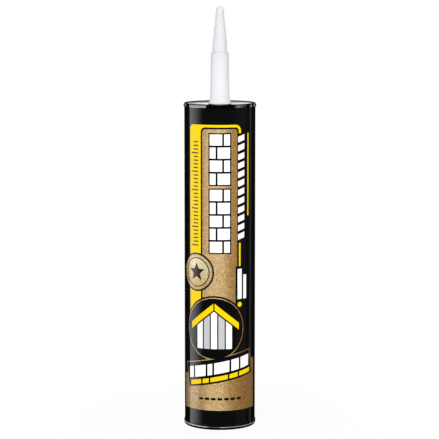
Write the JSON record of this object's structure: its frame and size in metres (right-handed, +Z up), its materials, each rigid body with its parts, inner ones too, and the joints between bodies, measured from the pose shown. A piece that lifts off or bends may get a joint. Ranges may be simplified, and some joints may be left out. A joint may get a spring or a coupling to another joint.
{
  "type": "construction adhesive cartridge",
  "caption": "Round fibre tube of construction adhesive with a seamed metal end, a long stepped nozzle to cut open and a piston that a dispensing gun pushes up from the open foot.",
  "frame": {"origin": "centre of the ring that the tube stands on, at its open foot", "axes": "+Z up the tube's axis towards the nozzle's tip, the front of the label faces -Y"},
  "size_m": [0.0496, 0.0496, 0.2874],
  "materials": {
    "wound_board": "matte",
    "black_label": "gloss",
    "tinplate": "gloss",
    "sealing_compound": "matte",
    "nozzle_plastic": "satin",
    "foil": "satin",
    "adhesive": "satin",
    "piston_plastic": "satin",
    "gold_print": "satin",
    "yellow_print": "gloss",
    "white_print": "gloss",
    "grey_print": "gloss"
  },
  "bodies": {
    "cartridge": {"board_tube": "wound_board", "label_sheet": "black_label", "metal_end": "tinplate", "rim_compound": "sealing_compound", "nozzle": "nozzle_plastic", "foil_seal": "foil", "adhesive_charge": "adhesive", "print_gold": "gold_print", "print_yellow": "yellow_print", "print_white": "white_print", "print_grey": "grey_print"},
    "plunger": {"piston": "piston_plastic"}
  },
  "joints": [
    {"name": "piston_slide", "type": "slide", "parent": "cartridge", "child": "plunger", "axis": [0, 0, 1], "range_m": [0, 0.185], "deforming": ["adhesive_charge"]}
  ]
}
